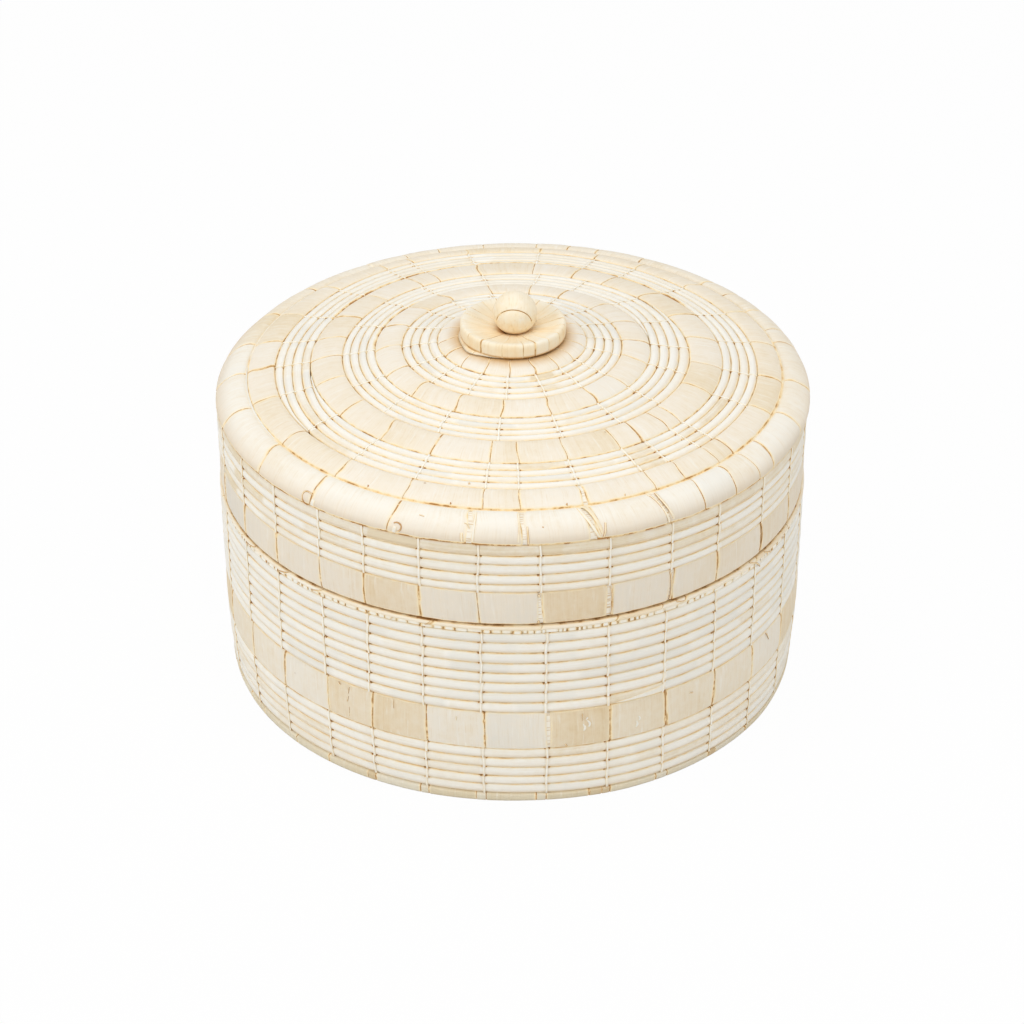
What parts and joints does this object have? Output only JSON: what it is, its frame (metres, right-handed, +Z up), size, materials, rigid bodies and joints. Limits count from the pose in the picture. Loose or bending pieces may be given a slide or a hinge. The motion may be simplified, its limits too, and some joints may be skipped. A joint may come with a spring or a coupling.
{
  "type": "coiled basket box",
  "caption": "Round coiled palm-leaf box with a straight wall, a lift-off domed lid with a deep skirt, and a leaf-wrapped bead knob in a saucer.",
  "frame": {"origin": "centre of the underside of the foot, on the surface the box stands on", "axes": "+Z up along the box's centre line, -Y towards the front shown in the picture, +X to the right of it"},
  "size_m": [0.3, 0.3, 0.2036],
  "materials": {
    "white_leaf": "satin",
    "cream_leaf": "satin",
    "yellow_leaf": "satin",
    "bare_wood": "matte",
    "twine": "matte"
  },
  "bodies": {
    "box": {"foot_ring": "cream_leaf", "wall_coil_lower": "white_leaf", "wall_band_wrap": "cream_leaf", "wall_band_hoop": "bare_wood", "wall_coil_upper": "white_leaf", "rim_coil": "cream_leaf", "inner_collar": "cream_leaf", "floor_center_button": "cream_leaf", "floor_band_1": "cream_leaf", "floor_band_2": "cream_leaf", "floor_band_3": "cream_leaf", "floor_band_4": "cream_leaf", "floor_coil_1": "white_leaf", "floor_coil_2": "white_leaf", "floor_coil_3": "white_leaf"},
    "lid": {"lid_center_button": "cream_leaf", "lid_band_1": "cream_leaf", "lid_band_2": "cream_leaf", "lid_band_3": "cream_leaf", "lid_band_4": "cream_leaf", "lid_coil_1": "white_leaf", "lid_coil_2": "white_leaf", "lid_coil_3": "white_leaf", "lid_shoulder_roll": "cream_leaf", "skirt_coil": "white_leaf", "skirt_band_wrap": "cream_leaf", "skirt_band_hoop": "bare_wood", "knob_saucer_wrap": "yellow_leaf", "knob_saucer_board": "bare_wood", "knob_bead_wrap": "yellow_leaf", "knob_bead": "bare_wood", "knob_spacer": "yellow_leaf", "knob_washer": "bare_wood", "knob_stem": "twine"}
  },
  "joints": [
    {"name": "lid_lift", "type": "slide", "parent": "box", "child": "lid", "axis": [0, 0, 1], "range_m": [0, 0.15]}
  ]
}
